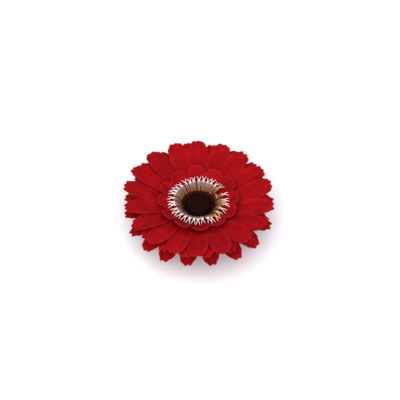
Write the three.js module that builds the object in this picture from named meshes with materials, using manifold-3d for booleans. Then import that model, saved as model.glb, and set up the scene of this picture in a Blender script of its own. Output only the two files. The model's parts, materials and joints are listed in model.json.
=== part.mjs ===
// Flower hair clip: a fabric gerbera head glued to a sprung double-prong hair clip.
// Millimetres, +Z up. The origin lies on the surface that the clip stands on, under the flower's axis.
// The clip runs along X, with its gripping tips towards +X and its finger tails towards -X.
import * as THREE from "three";
import { mergeVertices } from "three/addons/utils/BufferGeometryUtils.js";
import Module from "manifold-3d";

const wasm = await Module();
wasm.setup();

// ---------- driving dimensions ----------
const seatGap = 0.15; // air left between two pieces that are stacked or glued together
const runningGap = 0.15; // air between a moving piece and the piece beside it

// sheet-metal clip
const metal = 0.7; // thickness of the pressed steel
const clipWidth = 8;
const tailLength = 15; // from the hinge axis back to the end of the finger tails
const jawLength = 33; // from the hinge axis forward to the ends of the prongs
const barOverhang = 1; // how far the top bar reaches past the prongs
const hingeX = -9;
const earHalf = 3.5; // half the length of an ear where it leaves its plate
const earRadius = 2.1; // round end of an ear about the hinge axis
const prongWidth = 2.3;
const prongGap = 3;
const prongRootX = 0; // where the slot between the prongs starts
const bendStartX = 7; // the prongs are flat up to here, then rise to the bar
const gripGap = 0.2; // between the closed prongs and the bar
const cornerRadius = 2.4;
const grooveCount = 4; // grip grooves across the underside of the fork's tail
const grooveWidth = 0.8;
const grooveDepth = 0.25;
const groovePitch = 1.7;
const grooveStart = 2.6; // from the tail's end to the middle of the first groove
const gripInset = 1.4; // from the ears to the groove that starts the bar's grip face
const gripReach = 5.4; // from the prongs' bend to the groove that ends it

// hinge pin and torsion spring
const pinRadius = 0.95;
const pinHeadRadius = 1.55;
const pinHeadThickness = 0.6;
const springWire = 0.7;
const coilGap = 0.4; // between the pin and the inside of the coil
const turnGap = 0.17; // between one turn of the coil and the next
const coilSideGap = 0.4; // least room between the coil's ends and the ears
const springLegInset = 3; // the spring's legs end this far short of the tails' ends
const coilRoom = 1.35; // between the coil and the plates above and below it

// glue, felt and calyx
const glueThickness = 0.5;
const glueLength = 27;
const glueWidth = 10.5;
const feltRadius = 18;
const feltThickness = 1.4;
const calyxHeight = 3.8;
const calyxFootRadius = 6.5;
const calyxRimInset = 0.7; // the calyx's rim is this much smaller than the sheets' hubs
const spikeRadius = 1.5; // upright spike of the calyx that threads the petal sheets
const spikeClearance = 0.3;
const spikeEngagement = 0.4; // how far the spike's end enters the button
const calyxRimThickness = 0.6;
const beadRadius = 1.4; // bead of glue round the foot of the calyx

// petal sheets
const flowerRadius = 50; // to the tips of the lower sheet, which is the widest
const middleInset = 0.8; // how far the middle sheet's tips fall short of it
const upperInset = 0.4; // and the upper sheet's
const clothThickness = 0.6;
const petalCount = 18;
const slitInset = 2.5; // the slits between petals end this far outside the hub
const shoulderShare = 0.68; // where a petal's sides turn in towards its tip, as a share of its radius
const tipBluntness = 2.2; // 2 gives a round tip, and more a squarer one
const slitHalfAngle = THREE.MathUtils.degToRad(0.8);
const hubRadius = 10.5; // the sheets lie flat inside this radius
const smallPetalReach = 6.4; // how far the inner petals reach past the stamens' forks
const smallPetalCount = 12;
const lowerLift = 7.5; // each sheet rises by lift * s + curl * s * s, from s = 0 at its hub to 1 at its tips
const lowerCurl = -6.2;
const middleLift = 12.4;
const middleCurl = -2.6;
const upperLift = 13.3;
const upperCurl = -2.7;
const innerLift = 5;
const innerCurl = 5;

// stamen crown and centre button
const floretCount = 34;
const floretThickness = 0.5;
const floretInset = 0.75; // from the edge of the crown's plate in to the florets' feet
const floretFootWidth = 0.9;
const floretLean = 6.9; // how far outwards a floret leans, from its foot to its neck
const floretNeckRise = 6.4; // from the crown's plate up to the neck, where a floret forks
const floretNeckWidth = 2.1;
const tubeShare = 0.75; // share of the stem over which it widens
const forkReach = 4.1; // the forks curl outwards this far from the neck
const forkTipDrop = 1.4; // and down
const forkSpread = 1.25;
const forkProngWidth = 0.7;
const crotchShare = 0.35; // share of the fork before it splits
const crownThickness = 0.9;
const bristleCount = 26;
const bristleInset = 0.5; // from the florets' feet in to the edge of the bristles' plate
const bristlePlateThickness = 0.5;
const bristleWidth = 0.9;
const bristleReach = 1.3; // how far a bristle's tip stands outside its plate
const bristleRise = 1.2; // and above it
const bossRadius = 3;
const bossClearance = 0.2;
const buttonInset = 1.5; // from the edge of the bristles' plate in to the button's edge
const buttonEdge = 0.4;
const buttonDome = 1.1;

// ---------- radii that follow the hub ----------
const calyxRimRadius = hubRadius - calyxRimInset;
const crownRadius = hubRadius - seatGap;
const floretFootRadius = crownRadius - floretInset;
const neckRadius = floretFootRadius + floretLean;
const forkTipRadius = neckRadius + forkReach;
const smallPetalRadius = forkTipRadius + smallPetalReach;
const bristlePlateRadius = floretFootRadius - bristleInset;
const buttonRadius = bristlePlateRadius - buttonInset;

// ---------- heights, from the surface upwards ----------
const coilOuter = pinRadius + coilGap + springWire;
const hingeZ = metal + coilRoom + coilOuter;
const barUnder = hingeZ + coilOuter + coilRoom;
const barTop = barUnder + metal;
const glueBottom = barTop + seatGap;
const feltBottom = glueBottom + glueThickness + seatGap;
const calyxBottom = feltBottom + feltThickness + seatGap;
const calyxTop = calyxBottom + calyxHeight;
const sheetStep = clothThickness + 2 * seatGap;
const lowerHub = calyxTop + seatGap + clothThickness / 2; // mid-thickness of each sheet at its hub
const middleHub = lowerHub + sheetStep;
const upperHub = middleHub + sheetStep;
const smallHub = upperHub + sheetStep;
const crownBottom = smallHub + clothThickness / 2 + seatGap;
const crownTop = crownBottom + crownThickness;
const bristleBottom = crownTop + seatGap;
const bristleTop = bristleBottom + bristlePlateThickness;
const buttonBottom = bristleTop + seatGap;
const spikeTop = buttonBottom + spikeEngagement;

// ---------- helpers ----------
const finish = (color, roughness, metalness = 0) =>
  new THREE.MeshStandardMaterial({ color, roughness, metalness });

const materials = {
  redCloth: finish(0xa80f18, 0.75),
  stamen: finish(0xe9dfd6, 0.35),
  button: finish(0x1a0b0b, 0.6),
  calyx: finish(0x3f6b2f, 0.55),
  felt: finish(0x8e1018, 0.95),
  glue: finish(0xe8e2cf, 0.3),
  steel: finish(0xc8c9cc, 0.25, 1),
  spring: finish(0xa9abb0, 0.3, 1),
};

// A closed three.js geometry as a manifold-3d solid.
function toSolid(geometry) {
  const bare = geometry.index ? geometry.toNonIndexed() : geometry.clone();
  bare.deleteAttribute("normal");
  bare.deleteAttribute("uv");
  const merged = mergeVertices(bare, 1e-4);
  return new wasm.Manifold(
    new wasm.Mesh({
      numProp: 3,
      vertProperties: merged.attributes.position.array,
      triVerts: new Uint32Array(merged.index.array),
    }),
  );
}

// A manifold-3d solid back as a three.js geometry.
function toGeometry(solid) {
  const mesh = solid.getMesh();
  const geometry = new THREE.BufferGeometry();
  geometry.setAttribute("position", new THREE.BufferAttribute(mesh.vertProperties, 3));
  geometry.setIndex(new THREE.BufferAttribute(mesh.triVerts, 1));
  geometry.computeVertexNormals();
  return geometry;
}

// A profile of [radius, height] pairs, bottom to top on the outside, turned about the Z axis.
function turned(profile, segments) {
  const points = profile.map(([radius, height]) => new THREE.Vector2(radius, height));
  return new THREE.LatheGeometry(points, segments).rotateX(Math.PI / 2);
}

// A flat ring about the Z axis.
function washer(inner, outer, zLow, zHigh) {
  return turned([[inner, zLow], [outer, zLow], [outer, zHigh], [inner, zHigh], [inner, zLow]], 36);
}

// A shape drawn in X and Z, extruded along Y from yLow to yHigh.
function extrudedAlongY(shape, yLow, yHigh) {
  const settings = { depth: yHigh - yLow, bevelEnabled: false, curveSegments: 10 };
  return new THREE.ExtrudeGeometry(shape, settings)
    .rotateX(Math.PI / 2)
    .translate(0, yHigh, 0);
}

// A shape drawn in X and Y, extruded from zLow to zHigh.
function extrudedAlongZ(shape, zLow, zHigh) {
  const settings = { depth: zHigh - zLow, bevelEnabled: false, curveSegments: 6 };
  return new THREE.ExtrudeGeometry(shape, settings).translate(0, 0, zLow);
}

// ---------- petal sheets ----------
// Distance from the axis to a petal's edge, at an angle from the petal's middle.
function petalEdge(angle, halfAngle, tipRadius) {
  const shoulder = shoulderShare * tipRadius;
  const share = Math.min(1, Math.abs(angle) / halfAngle);
  return shoulder + (tipRadius - shoulder) * Math.sqrt(1 - share ** tipBluntness);
}

const edgeShares = [-0.97, -0.6, 0, 0.6, 0.97]; // where each petal's edge is set out across its width

// One die-cut sheet: petals round a flat hub, lifted off the hub's plane along a parabola.
function petalSheet({ count, tipRadius, turn, hubHeight, lift, curl, slit, rings }) {
  const pitch = (2 * Math.PI) / count;
  const halfAngle = pitch / 2 - slitHalfAngle * (petalCount / count);
  const columns = [];
  for (let petal = 0; petal < count; petal++) {
    const middle = turn + petal * pitch;
    for (const share of edgeShares) {
      const angle = share * halfAngle;
      columns.push({ angle: middle + angle, reach: petalEdge(angle, halfAngle, tipRadius) });
    }
    columns.push({ angle: middle + pitch / 2, reach: slit });
  }
  const hole = spikeRadius + spikeClearance;
  const positions = [];
  for (const { angle, reach } of columns) {
    for (let ring = 0; ring <= rings; ring++) {
      const radius = ring === 0 ? hole : hubRadius + ((reach - hubRadius) * (ring - 1)) / (rings - 1);
      const s = Math.max(0, (radius - hubRadius) / (tipRadius - hubRadius));
      const middleZ = hubHeight + lift * s + curl * s * s;
      for (const side of [-1, 1]) {
        const z = middleZ + (side * clothThickness) / 2;
        positions.push(radius * Math.cos(angle), radius * Math.sin(angle), z);
      }
    }
  }
  const at = (column, ring, side) =>
    ((column % columns.length) * (rings + 1) + ring) * 2 + side;
  const faces = [];
  const quad = (a, b, c, d) => faces.push(a, b, c, a, c, d);
  for (let column = 0; column < columns.length; column++) {
    const next = column + 1;
    for (let ring = 0; ring < rings; ring++) {
      quad(at(column, ring, 1), at(column, ring + 1, 1), at(next, ring + 1, 1), at(next, ring, 1));
      quad(at(column, ring, 0), at(next, ring, 0), at(next, ring + 1, 0), at(column, ring + 1, 0));
    }
    quad(at(column, 0, 0), at(column, 0, 1), at(next, 0, 1), at(next, 0, 0));
    quad(at(column, rings, 0), at(next, rings, 0), at(next, rings, 1), at(column, rings, 1));
  }
  const geometry = new THREE.BufferGeometry();
  geometry.setAttribute("position", new THREE.Float32BufferAttribute(positions, 3));
  geometry.setIndex(faces);
  geometry.computeVertexNormals();
  return geometry;
}

const largeSheet = { count: petalCount, slit: hubRadius + slitInset, rings: 4 };
const sheets = {
  lower_petals: {
    ...largeSheet,
    tipRadius: flowerRadius,
    turn: 0,
    hubHeight: lowerHub,
    lift: lowerLift,
    curl: lowerCurl,
  },
  middle_petals: {
    ...largeSheet,
    tipRadius: flowerRadius - middleInset,
    turn: 0,
    hubHeight: middleHub,
    lift: middleLift,
    curl: middleCurl,
  },
  upper_petals: {
    ...largeSheet,
    tipRadius: flowerRadius - upperInset,
    turn: Math.PI / petalCount,
    hubHeight: upperHub,
    lift: upperLift,
    curl: upperCurl,
  },
  inner_petals: {
    count: smallPetalCount,
    tipRadius: smallPetalRadius,
    turn: 0,
    hubHeight: smallHub,
    lift: innerLift,
    curl: innerCurl,
    slit: hubRadius + slitInset,
    rings: 3,
  },
};

// ---------- stamen crown ----------
// A floret is a flat Y that is bent: its stem leans outwards from the crown's plate,
// and its two prongs curl over and down from the neck.
function floret(turn) {
  const foot = new THREE.Vector2(floretFootRadius, crownBottom + crownThickness / 2);
  const neck = new THREE.Vector2(neckRadius, crownTop + floretNeckRise);
  const tip = new THREE.Vector2(forkTipRadius, neck.y - forkTipDrop);
  const stem = foot.distanceTo(neck);
  const fork = neck.distanceTo(tip);
  const crotch = crotchShare * fork;

  const outline = new THREE.Shape();
  outline.moveTo(-floretFootWidth / 2, 0);
  outline.lineTo(floretFootWidth / 2, 0);
  outline.lineTo(floretNeckWidth / 2, tubeShare * stem);
  outline.lineTo(floretNeckWidth / 2, stem);
  outline.lineTo(forkSpread + forkProngWidth / 2, stem + fork);
  outline.lineTo(forkSpread - forkProngWidth / 2, stem + fork);
  outline.lineTo(0, stem + crotch);
  outline.lineTo(-forkSpread + forkProngWidth / 2, stem + fork);
  outline.lineTo(-forkSpread - forkProngWidth / 2, stem + fork);
  outline.lineTo(-floretNeckWidth / 2, stem);
  outline.lineTo(-floretNeckWidth / 2, tubeShare * stem);
  const settings = { depth: floretThickness, bevelEnabled: false };
  const geometry = new THREE.ExtrudeGeometry(outline, settings);

  const up = neck.clone().sub(foot).normalize();
  const out = tip.clone().sub(neck).normalize();
  const position = geometry.attributes.position;
  for (let i = 0; i < position.count; i++) {
    const along = position.getY(i);
    const onFork = along > stem;
    const start = onFork ? neck : foot;
    const way = onFork ? out : up;
    const length = onFork ? along - stem : along;
    const height = position.getZ(i) - floretThickness / 2;
    const radius = start.x + way.x * length;
    const z = start.y + way.y * length + height;
    position.setXYZ(i, radius, -position.getX(i), z);
  }
  return geometry.rotateZ(turn);
}

function stamenCrown() {
  const hole = bossRadius + bossClearance;
  let crown = toSolid(washer(hole, crownRadius, crownBottom, crownTop));
  for (let i = 0; i < floretCount; i++) {
    crown = crown.add(toSolid(floret(((i + 0.5) * 2 * Math.PI) / floretCount)));
  }
  return toGeometry(crown);
}

// ---------- bristle ring, centre button and calyx ----------
// A bristle is a four-sided spike that leans outwards from the edge of the ring's plate.
function bristle(turn) {
  const start = new THREE.Vector3(bristlePlateRadius - bristleWidth, 0, bristleTop);
  const end = new THREE.Vector3(bristlePlateRadius + bristleReach, 0, bristleTop + bristleRise);
  const lean = Math.atan2(end.x - start.x, end.z - start.z);
  return new THREE.ConeGeometry(bristleWidth / 2, start.distanceTo(end), 4)
    .rotateX(Math.PI / 2)
    .rotateY(lean)
    .translate((start.x + end.x) / 2, 0, (start.z + end.z) / 2)
    .rotateZ(turn);
}

function bristleRing() {
  const hole = bossRadius + bossClearance;
  let ring = toSolid(washer(hole, bristlePlateRadius, bristleBottom, bristleTop));
  for (let i = 0; i < bristleCount; i++) {
    ring = ring.add(toSolid(bristle((i * 2 * Math.PI) / bristleCount)));
  }
  return toGeometry(ring);
}

function centreButton() {
  const socket = spikeRadius + spikeClearance;
  const bossBottom = smallHub + clothThickness / 2 + seatGap;
  const edgeTop = buttonBottom + buttonEdge;
  const profile = [
    [0, spikeTop + seatGap],
    [socket, spikeTop + seatGap],
    [socket, bossBottom],
    [bossRadius, bossBottom],
    [bossRadius, buttonBottom],
    [buttonRadius, buttonBottom],
  ];
  const domeSteps = 5;
  for (let i = 0; i <= domeSteps; i++) {
    const angle = ((i / domeSteps) * Math.PI) / 2;
    profile.push([buttonRadius * Math.cos(angle), edgeTop + buttonDome * Math.sin(angle)]);
  }
  profile[profile.length - 1][0] = 0;
  return turned(profile, 24);
}

function calyx() {
  return turned(
    [
      [0, calyxBottom],
      [calyxFootRadius, calyxBottom],
      [calyxFootRadius, calyxBottom + beadRadius + seatGap],
      [calyxRimRadius, calyxTop - calyxRimThickness],
      [calyxRimRadius, calyxTop],
      [spikeRadius, calyxTop],
      [spikeRadius, spikeTop],
      [0, spikeTop],
    ],
    24,
  );
}

// ---------- felt and glue ----------
// The bead fills the corner between the felt and the upright foot of the calyx.
function glueBead() {
  const corner = calyxFootRadius + seatGap;
  const profile = [[corner, calyxBottom]];
  const steps = 4;
  for (let i = 0; i <= steps; i++) {
    const angle = ((i / steps) * Math.PI) / 2;
    profile.push([corner + beadRadius * Math.cos(angle), calyxBottom + beadRadius * Math.sin(angle)]);
  }
  profile.push([corner, calyxBottom]);
  return turned(profile, 24);
}

const feltDisc = () =>
  turned(
    [[0, feltBottom], [feltRadius, feltBottom], [feltRadius, feltBottom + feltThickness],
      [0, feltBottom + feltThickness]],
    48,
  );

function gluePad() {
  const radius = glueWidth / 2;
  const half = glueLength / 2 - radius;
  const outline = new THREE.Shape();
  outline.absarc(half, 0, radius, -Math.PI / 2, Math.PI / 2, false);
  outline.absarc(-half, 0, radius, Math.PI / 2, (3 * Math.PI) / 2, false);
  return extrudedAlongZ(outline, glueBottom, glueBottom + glueThickness);
}

// ---------- clip ----------
const tailX = hingeX - tailLength;
const prongTipX = hingeX + jawLength;
const halfWidth = clipWidth / 2;
const innerEarOuter = halfWidth - metal - runningGap;

// A plate's outline from above, with four rounded corners.
function roundedPlate(xLow, xHigh, half, radius) {
  const outline = new THREE.Shape();
  outline.absarc(xHigh - radius, half - radius, radius, 0, Math.PI / 2, false);
  outline.absarc(xLow + radius, half - radius, radius, Math.PI / 2, Math.PI, false);
  outline.absarc(xLow + radius, -half + radius, radius, Math.PI, 1.5 * Math.PI, false);
  outline.absarc(xHigh - radius, -half + radius, radius, 1.5 * Math.PI, 2 * Math.PI, false);
  return outline;
}

// An ear from the side: wide where it leaves its plate, round about the hinge axis.
function earShape(plateZ) {
  const above = plateZ > hingeZ;
  const outline = new THREE.Shape();
  outline.moveTo(hingeX - earHalf, plateZ);
  outline.lineTo(hingeX + earHalf, plateZ);
  outline.lineTo(hingeX + earRadius, hingeZ);
  outline.absarc(hingeX, hingeZ, earRadius, 0, Math.PI, above);
  return outline;
}

function pinHole() {
  const radius = pinRadius + runningGap;
  return new THREE.CylinderGeometry(radius, radius, 2 * clipWidth, 24).translate(hingeX, 0, hingeZ);
}

// The top bar, glued under the flower, with the two outer ears folded down from its edges.
function clipBar() {
  const outline = roundedPlate(tailX, prongTipX + barOverhang, halfWidth, cornerRadius);
  const plate = toSolid(extrudedAlongZ(outline, barUnder, barTop));
  const ear = earShape(barTop);
  return toGeometry(
    plate
      .add(toSolid(extrudedAlongY(ear, halfWidth - metal, halfWidth)))
      .add(toSolid(extrudedAlongY(ear, -halfWidth, -halfWidth + metal)))
      .subtract(toSolid(pinHole()))
      .subtract(toSolid(crossGroove(hingeX + earHalf + gripInset, barUnder)))
      .subtract(toSolid(crossGroove(bendStartX + gripReach, barUnder))),
  );
}

// A pressed groove across the underside of a plate.
function crossGroove(x, z) {
  return new THREE.BoxGeometry(grooveWidth, 2 * clipWidth, 2 * grooveDepth).translate(x, 0, z);
}

// The underside fork from above: tail, neck between the ears, and two round-ended prongs.
function forkPlan() {
  const prongRadius = prongWidth / 2;
  const prongMiddle = prongGap / 2 + prongRadius;
  const prongOuter = prongGap / 2 + prongWidth;
  const roundX = prongTipX - prongRadius;
  const slotRadius = prongGap / 2;
  const outline = new THREE.Shape();
  outline.absarc(tailX + cornerRadius, halfWidth - cornerRadius, cornerRadius, Math.PI / 2, Math.PI, false);
  outline.absarc(tailX + cornerRadius, cornerRadius - halfWidth, cornerRadius, Math.PI, 1.5 * Math.PI, false);
  outline.lineTo(hingeX - earHalf, -halfWidth);
  outline.lineTo(hingeX - earHalf, -innerEarOuter);
  outline.lineTo(hingeX + earHalf, -innerEarOuter);
  outline.lineTo(hingeX + earHalf, -prongOuter);
  outline.absarc(roundX, -prongMiddle, prongRadius, -Math.PI / 2, Math.PI / 2, false);
  outline.absarc(prongRootX + slotRadius, 0, slotRadius, 1.5 * Math.PI, Math.PI / 2, true);
  outline.absarc(roundX, prongMiddle, prongRadius, -Math.PI / 2, Math.PI / 2, false);
  outline.lineTo(hingeX + earHalf, prongOuter);
  outline.lineTo(hingeX + earHalf, innerEarOuter);
  outline.lineTo(hingeX - earHalf, innerEarOuter);
  outline.lineTo(hingeX - earHalf, halfWidth);
  return outline;
}

// The fork from the side: flat on the surface, then a smooth S up to the underside of the bar.
function forkSide() {
  const rise = barUnder - gripGap - metal;
  const steps = 12;
  const top = [];
  const bottom = [];
  for (let i = 0; i <= steps; i++) {
    const s = i / steps;
    const x = bendStartX + (prongTipX - bendStartX) * s;
    const middle = metal / 2 + rise * s * s * (3 - 2 * s);
    const slope = (rise * 6 * s * (1 - s)) / (prongTipX - bendStartX);
    const lean = Math.hypot(1, slope);
    const dx = ((metal / 2) * slope) / lean;
    const dz = metal / 2 / lean;
    top.push(new THREE.Vector2(x - dx, middle + dz));
    bottom.push(new THREE.Vector2(x + dx, middle - dz));
  }
  return new THREE.Shape([
    new THREE.Vector2(tailX, metal),
    new THREE.Vector2(tailX, 0),
    ...bottom,
    ...top.reverse(),
  ]);
}

function clipFork() {
  const plan = toSolid(extrudedAlongZ(forkPlan(), -1, barTop));
  const side = toSolid(extrudedAlongY(forkSide(), -clipWidth, clipWidth));
  const ear = earShape(0);
  let fork = plan
    .intersect(side)
    .add(toSolid(extrudedAlongY(ear, innerEarOuter - metal, innerEarOuter)))
    .add(toSolid(extrudedAlongY(ear, -innerEarOuter, metal - innerEarOuter)))
    .subtract(toSolid(pinHole()));
  for (let i = 0; i < grooveCount; i++) {
    fork = fork.subtract(toSolid(crossGroove(tailX + grooveStart + i * groovePitch, 0)));
  }
  return toGeometry(fork);
}

// The pin runs through all four ears and is headed over outside the bar's pair.
function hingePin() {
  const headInside = halfWidth + runningGap;
  const headOutside = headInside + pinHeadThickness;
  const profile = [
    [0, -headOutside],
    [pinHeadRadius, -headOutside],
    [pinHeadRadius, -headInside],
    [pinRadius, -headInside],
    [pinRadius, headInside],
    [pinHeadRadius, headInside],
    [pinHeadRadius, headOutside],
    [0, headOutside],
  ].map(([radius, y]) => new THREE.Vector2(radius, y));
  return new THREE.LatheGeometry(profile, 24).translate(hingeX, 0, hingeZ);
}

// The spring's centreline: a leg along the fork's tail, the coil round the pin,
// and a leg along the underside of the bar's tail.
class SpringLine extends THREE.Curve {
  constructor() {
    super();
    this.radius = pinRadius + coilGap + springWire / 2;
    this.legRise = barUnder - springWire / 2 - seatGap - (hingeZ + this.radius);
    this.legLength = tailLength - springLegInset;
    this.leg = Math.hypot(this.legLength, this.legRise);
    const pitch = springWire + turnGap;
    const room = 2 * (innerEarOuter - metal - coilSideGap) - springWire;
    this.turns = Math.floor(room / pitch - 0.5) + 0.5; // the odd half turn puts a leg on each plate
    this.coil = this.turns * 2 * Math.PI * this.radius;
    this.halfCoil = (this.turns * pitch) / 2;
  }

  getPoint(t, target = new THREE.Vector3()) {
    const length = t * (2 * this.leg + this.coil);
    if (length < this.leg) {
      const away = 1 - length / this.leg;
      return target.set(
        hingeX - this.legLength * away,
        -this.halfCoil,
        hingeZ - this.radius - this.legRise * away,
      );
    }
    if (length > this.leg + this.coil) {
      const away = (length - this.leg - this.coil) / this.leg;
      return target.set(
        hingeX - this.legLength * away,
        this.halfCoil,
        hingeZ + this.radius + this.legRise * away,
      );
    }
    const share = (length - this.leg) / this.coil;
    const angle = -Math.PI / 2 + share * this.turns * 2 * Math.PI;
    return target.set(
      hingeX + this.radius * Math.cos(angle),
      (2 * share - 1) * this.halfCoil,
      hingeZ + this.radius * Math.sin(angle),
    );
  }
}

function torsionSpring() {
  const section = new THREE.Shape();
  const sides = 6;
  for (let i = 0; i < sides; i++) {
    const angle = (i * 2 * Math.PI) / sides;
    const point = [(springWire / 2) * Math.cos(angle), (springWire / 2) * Math.sin(angle)];
    if (i === 0) section.moveTo(...point);
    else section.lineTo(...point);
  }
  const settings = { steps: 72, extrudePath: new SpringLine(), bevelEnabled: false };
  return new THREE.ExtrudeGeometry(section, settings);
}

// ---------- assembly ----------
const piece = (name, geometry, material) => {
  const mesh = new THREE.Mesh(geometry, material);
  mesh.name = name;
  return mesh;
};

const flowerHead = new THREE.Group().add(
  piece("calyx_cup", calyx(), materials.calyx),
  ...Object.entries(sheets).map(([name, sheet]) => piece(name, petalSheet(sheet), materials.redCloth)),
  piece("stamen_crown", stamenCrown(), materials.stamen),
  piece("bristle_ring", bristleRing(), materials.button),
  piece("centre_button", centreButton(), materials.button),
);

const backing = new THREE.Group().add(
  piece("calyx_glue", glueBead(), materials.glue),
  piece("felt_disc", feltDisc(), materials.felt),
  piece("clip_glue", gluePad(), materials.glue),
);

const hairClip = new THREE.Group().add(
  piece("clip_bar", clipBar(), materials.steel),
  piece("clip_fork", clipFork(), materials.steel),
  piece("hinge_pin", hingePin(), materials.steel),
  piece("torsion_spring", torsionSpring(), materials.spring),
);

const flowerHairClip = new THREE.Group().add(flowerHead, backing, hairClip);

export default flowerHairClip;
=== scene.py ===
import bpy
import json
import math
import random
from mathutils import Matrix, Vector, noise
from mathutils.bvhtree import BVHTree


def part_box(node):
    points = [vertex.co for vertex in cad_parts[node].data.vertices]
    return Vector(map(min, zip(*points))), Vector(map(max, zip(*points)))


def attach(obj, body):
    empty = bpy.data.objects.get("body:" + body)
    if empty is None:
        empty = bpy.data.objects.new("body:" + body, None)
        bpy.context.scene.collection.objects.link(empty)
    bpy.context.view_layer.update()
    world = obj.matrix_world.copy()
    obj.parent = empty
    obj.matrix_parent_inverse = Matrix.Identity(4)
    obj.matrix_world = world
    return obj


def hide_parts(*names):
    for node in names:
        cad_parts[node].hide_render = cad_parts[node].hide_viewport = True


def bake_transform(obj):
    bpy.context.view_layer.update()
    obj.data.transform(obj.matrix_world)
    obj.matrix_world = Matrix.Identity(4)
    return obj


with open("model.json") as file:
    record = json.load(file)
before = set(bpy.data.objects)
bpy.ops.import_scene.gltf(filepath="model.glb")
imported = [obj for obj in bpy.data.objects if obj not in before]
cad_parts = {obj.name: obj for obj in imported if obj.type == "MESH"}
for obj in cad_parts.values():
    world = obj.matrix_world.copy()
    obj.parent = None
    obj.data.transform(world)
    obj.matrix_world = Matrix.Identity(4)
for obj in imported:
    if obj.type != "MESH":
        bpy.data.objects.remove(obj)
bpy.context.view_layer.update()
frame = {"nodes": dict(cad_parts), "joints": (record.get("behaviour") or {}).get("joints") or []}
mm = 0.001
hinge = Vector(frame["joints"][0]["pos_m"])
bpy.ops.object.select_all(action="DESELECT")


def active():
    return bpy.context.view_layer.objects.active


def pickOnly(piece):
    bpy.ops.object.select_all(action="DESELECT")
    piece.select_set(True)
    bpy.context.view_layer.objects.active = piece


def settle(piece):
    # the place goes into the mesh, and the object stays at the origin
    pickOnly(piece)
    bpy.ops.object.transform_apply(location=True, rotation=True, scale=True)
    return piece


def selectFaces(piece, test):
    # test gets a face's centre in millimetres and its normal; this ends in edit mode
    bpy.ops.object.mode_set(mode="EDIT")
    bpy.ops.mesh.select_mode(type="FACE")
    bpy.ops.mesh.select_all(action="DESELECT")
    bpy.ops.object.mode_set(mode="OBJECT")
    for face in piece.data.polygons:
        face.select = test(face.center / mm, face.normal)
    bpy.ops.object.mode_set(mode="EDIT")


def extrude(move, scale=(1, 1, 1), about=(0, 0, 0)):
    # the chosen faces move, then shrink or grow about a point; both are in millimetres
    bpy.ops.mesh.extrude_region_move(TRANSFORM_OT_translate={"value": Vector(move) * mm})
    bpy.ops.transform.resize(value=scale, center_override=Vector(about) * mm)


def objectMode():
    bpy.ops.object.mode_set(mode="OBJECT")


def addCylinder(sides, radius, bottom, top):
    bpy.ops.mesh.primitive_cylinder_add(
        vertices=sides, radius=radius * mm, depth=(top - bottom) * mm,
        location=(0, 0, (top + bottom) / 2 * mm))
    return settle(active())


def applyModifier(piece, kind, **settings):
    pickOnly(piece)
    modifier = piece.modifiers.new(kind.lower(), kind)
    for key, value in settings.items():
        setattr(modifier, key, value)
    bpy.ops.object.modifier_apply(modifier=modifier.name)


def smooth(piece, degrees):
    pickOnly(piece)
    bpy.ops.object.shade_smooth_by_angle(angle=math.radians(degrees))


def joined(pieces):
    bpy.ops.object.select_all(action="DESELECT")
    for piece in pieces:
        piece.select_set(True)
    bpy.context.view_layer.objects.active = pieces[0]
    bpy.ops.object.join()
    return active()


def copyOf(piece):
    twin = piece.copy()
    twin.data = piece.data.copy()
    bpy.context.collection.objects.link(twin)
    return twin


def remove(piece):
    bpy.data.objects.remove(piece)


def setAttribute(piece, name, values):
    attribute = piece.data.attributes.get(name) or piece.data.attributes.new(name, "FLOAT", "POINT")
    attribute.data.foreach_set("value", values)


def finishPiece(piece, name, material, replaced, body="root"):
    piece.name = name
    piece.data.name = name
    piece.data.materials.clear()
    piece.data.materials.append(material)
    if body:
        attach(piece, body)
    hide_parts(replaced)
    return piece


def ease(value, low, high):
    t = min(1.0, max(0.0, (value - low) / (high - low)))
    return t * t * (3 - 2 * t)


def turned(x, y, degrees):
    a = math.radians(degrees)
    return x * math.cos(a) - y * math.sin(a), x * math.sin(a) + y * math.cos(a)


def linear(hexColour):
    channels = [int(hexColour[i:i + 2], 16) / 255 for i in (1, 3, 5)]
    return [c / 12.92 if c <= 0.04045 else ((c + 0.055) / 1.055) ** 2.4 for c in channels] + [1.0]


def addNode(tree, kind, settings=None, links=None, stops=()):
    # links maps an input's name or number to a socket, which is linked, or to a value, which is set;
    # stops are a colour ramp's places and colours; the node's outputs come back
    node = tree.nodes.new("ShaderNode" + kind)
    for key, value in (settings or {}).items():
        setattr(node, key, value)
    for key, value in (links or {}).items():
        socket = node.inputs[key]
        if isinstance(value, bpy.types.NodeSocket):
            tree.links.new(value, socket)
        else:
            socket.default_value = value
    for i, (position, colour) in enumerate(stops):
        element = node.color_ramp.elements[i] if i < 2 else node.color_ramp.elements.new(position)
        element.position = position
        element.color = linear(colour)
    return node.outputs


def newMaterial(name):
    material = bpy.data.materials.new(name)
    material.use_nodes = True
    tree = material.node_tree
    tree.nodes.clear()
    where = addNode(tree, "TexCoord")["Object"]
    return material, tree, where


def perSize(size):
    # the scale of a pattern whose real size is given in millimetres
    return 1 / (size * mm)


# polyester satin, woven, dyed red and heat-pressed: a faint lengthwise streak, a matte bloom, uneven dye,
# and a paler line where the hot die cut and sealed the edge; the thread is drawn coarse, to show
clothLook = {
    "red": "#96070f", "deepRed": "#7a030a", "paleEdge": "#a8222c", "sheen": "#e0505a", "threadSize": 0.7,
    "streakWidth": 0.9, "streakLength": 16.0, "blotchSize": 9.0, "fraySize": 0.9, "weaveDepth": 0.04,
    # the vein depth below is how strongly painted shade darkens the pressed vein grooves
    "veinShadeDepth": 0.35, "roughness": 0.8, "streakShare": 0.5, "darkest": 0.84, "brightest": 1.08,
    "streakRelief": 2.0, "bump": 0.5, "shine": 0.05, "bloom": 0.02,
}


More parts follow.
